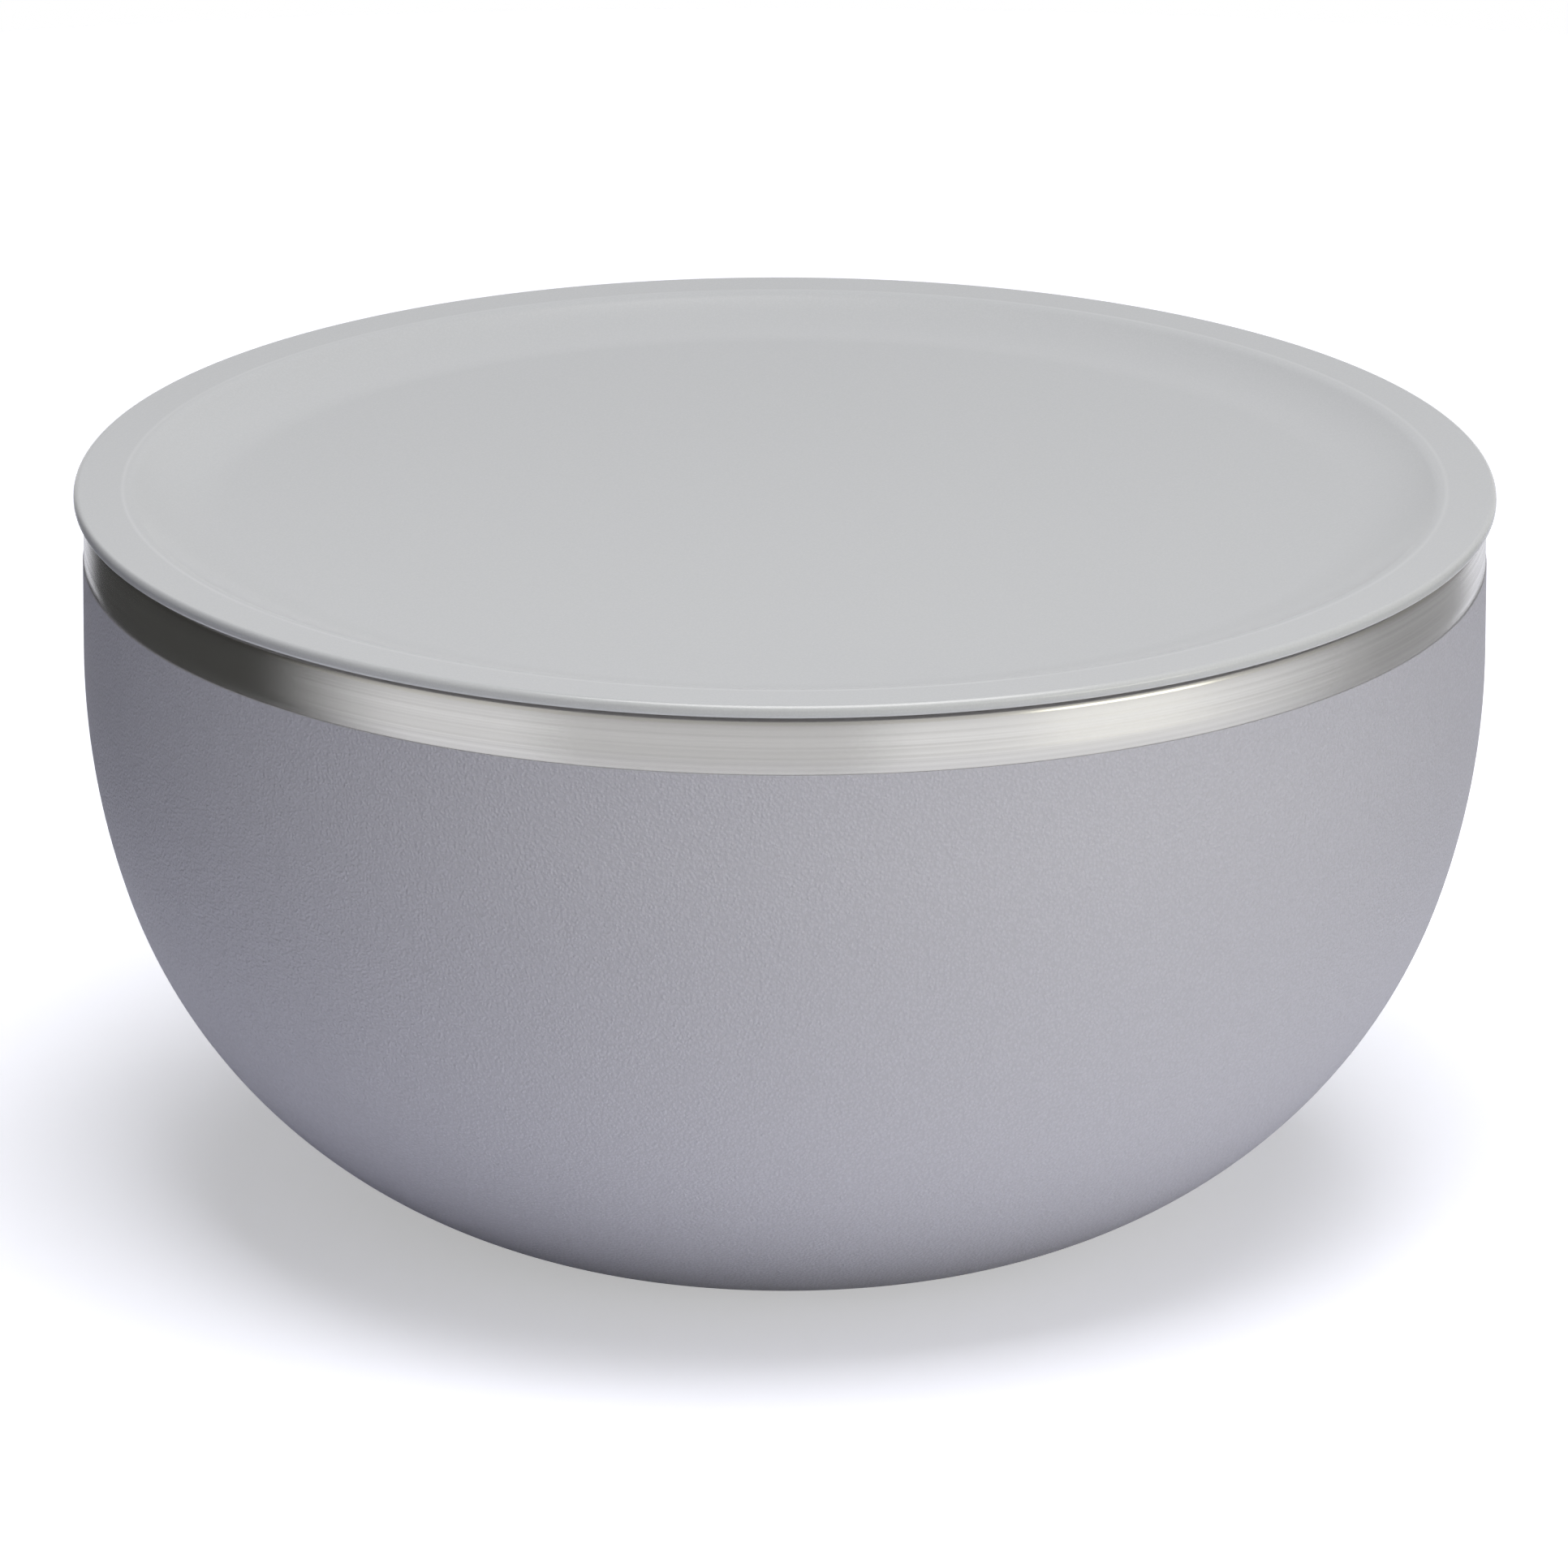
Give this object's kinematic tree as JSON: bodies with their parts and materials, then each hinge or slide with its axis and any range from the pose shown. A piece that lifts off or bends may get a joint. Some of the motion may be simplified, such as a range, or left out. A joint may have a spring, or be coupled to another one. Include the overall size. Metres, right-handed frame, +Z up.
{
  "type": "insulated bowl with lid",
  "caption": "Round double-walled steel serving bowl with a powder-coated outside, a bare brushed steel collar and a dished press-in lid that lifts off.",
  "frame": {"origin": "centre of the foot ring's underside, on the plane that the bowl stands on", "axes": "+Z up the bowl's axis, the way the lid lifts; X and Y are free because the bowl is round, and the getter lies along +X"},
  "size_m": [0.2644, 0.2644, 0.1386],
  "materials": {
    "powder_coat": "satin powder coat with a fine pebbled grain",
    "liner_steel": "fine brushing round the axis",
    "foot_silicone": "matt silicone",
    "cover_steel": "spun steel",
    "seal_glass": "fused glass",
    "getter_steel": "pressed steel",
    "getter_alloy": "sintered",
    "lid_plastic": "satin moulded plastic",
    "gasket_silicone": "pale silicone"
  },
  "bodies": {
    "bowl": {"outer_shell": "powder_coat", "inner_liner": "liner_steel", "foot_ring": "foot_silicone", "base_cover": "cover_steel", "port_seal": "seal_glass", "getter_cup": "getter_steel", "getter_pellet": "getter_alloy"},
    "lid": {"lid_panel": "lid_plastic", "lid_gasket": "gasket_silicone"}
  },
  "joints": [
    {"name": "lid_lift", "type": "slide", "parent": "bowl", "child": "lid", "axis": [0, 0, 1], "range_m": [0, 0.15]}
  ]
}
